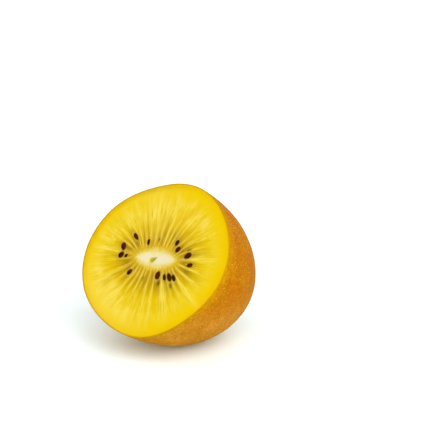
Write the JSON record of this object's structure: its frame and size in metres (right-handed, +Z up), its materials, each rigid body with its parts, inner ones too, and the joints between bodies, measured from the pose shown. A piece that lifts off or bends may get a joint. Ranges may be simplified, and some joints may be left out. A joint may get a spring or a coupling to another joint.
{
  "type": "golden kiwifruit half",
  "caption": "Half of a golden kiwifruit, cut across, resting on its flank with the cut face turned up: thin brown skin, yellow flesh, dark seeds and a cream core.",
  "frame": {"origin": "on the small flat spot that the half rests on, at the surface's height", "axes": "+Z up; +X to the right along the cut face; the cut face looks to -Y and upward, and the uncut end points to +Y"},
  "size_m": [0.0529, 0.0479, 0.0497],
  "materials": {
    "skin": "thin golden-brown peel with a fine light fuzz and pale specks, matt with a soft sheen",
    "flesh": "moist golden-yellow flesh, lighter rays between darker locules round the core",
    "core": "cream, soft and slightly moist",
    "seed": "near-black maroon, moist and glossy"
  },
  "bodies": {
    "root": {"skin": "skin", "flesh": "flesh", "core": "core"}
  },
  "joints": []
}
